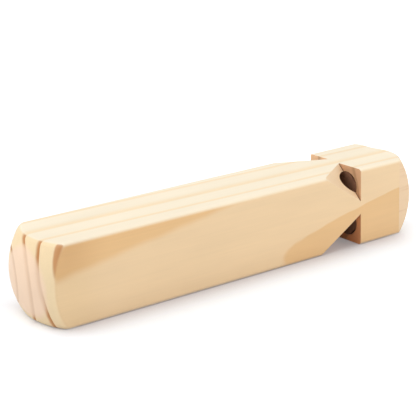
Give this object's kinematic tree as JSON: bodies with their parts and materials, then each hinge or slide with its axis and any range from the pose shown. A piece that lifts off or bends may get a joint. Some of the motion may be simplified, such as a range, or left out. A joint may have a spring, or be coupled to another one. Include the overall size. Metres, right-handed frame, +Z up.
{
  "type": "train whistle",
  "caption": "Square wooden train whistle with domed ends, a sawn mouth and sloping ramp on each long edge, blind bores behind them and fipple plugs in the mouthpiece.",
  "frame": {"origin": "on the bottom face, under the middle of the bar's length and width", "axes": "+X along the bar towards the mouthpiece, +Z up, -Y the front face"},
  "size_m": [0.2, 0.0354, 0.0354],
  "materials": {
    "pine": "satin",
    "dowel": "matte"
  },
  "bodies": {
    "root": {"whistle_body": "pine", "plug_upper_front": "dowel", "plug_upper_back": "dowel", "plug_lower_back": "dowel", "plug_lower_front": "dowel"}
  },
  "joints": []
}
